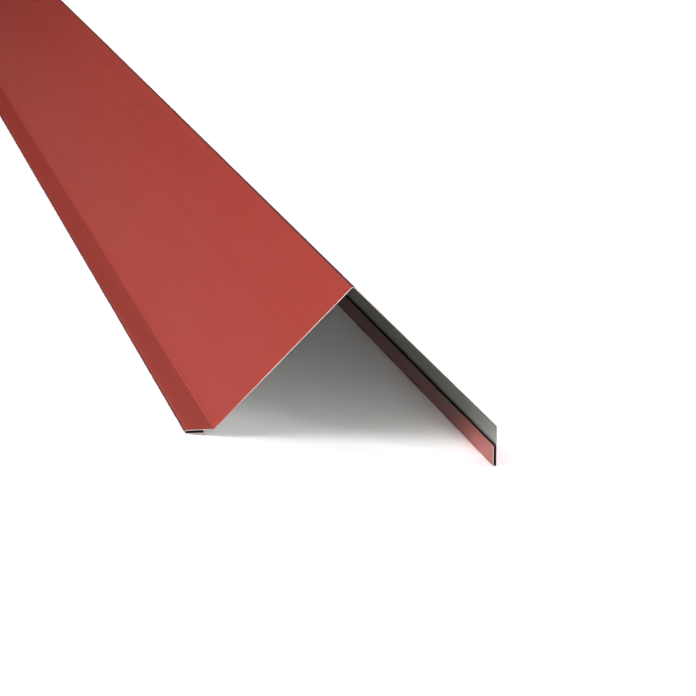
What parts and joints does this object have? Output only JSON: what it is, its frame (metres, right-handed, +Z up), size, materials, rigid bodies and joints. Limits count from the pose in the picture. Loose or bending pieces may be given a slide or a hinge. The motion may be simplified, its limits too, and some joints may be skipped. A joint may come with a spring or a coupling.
{
  "type": "angle trim",
  "caption": "Right-angled roof edge trim folded from pre-painted sheet steel, with a kicked-out roof lip, a turned-in wall lip and hemmed edges.",
  "frame": {"origin": "middle of the length and of the width, on the level floor that both hems rest on", "axes": "+Y along the trim, +Z up through the ridge's side, +X from the roof flange towards the wall flange"},
  "size_m": [0.1624, 2, 0.0839],
  "materials": {
    "painted_steel": "brick-red satin coil coating outside, grey back coat inside, bare steel at the cut edges"
  },
  "bodies": {
    "root": {"angle_trim": "painted_steel"}
  },
  "joints": []
}
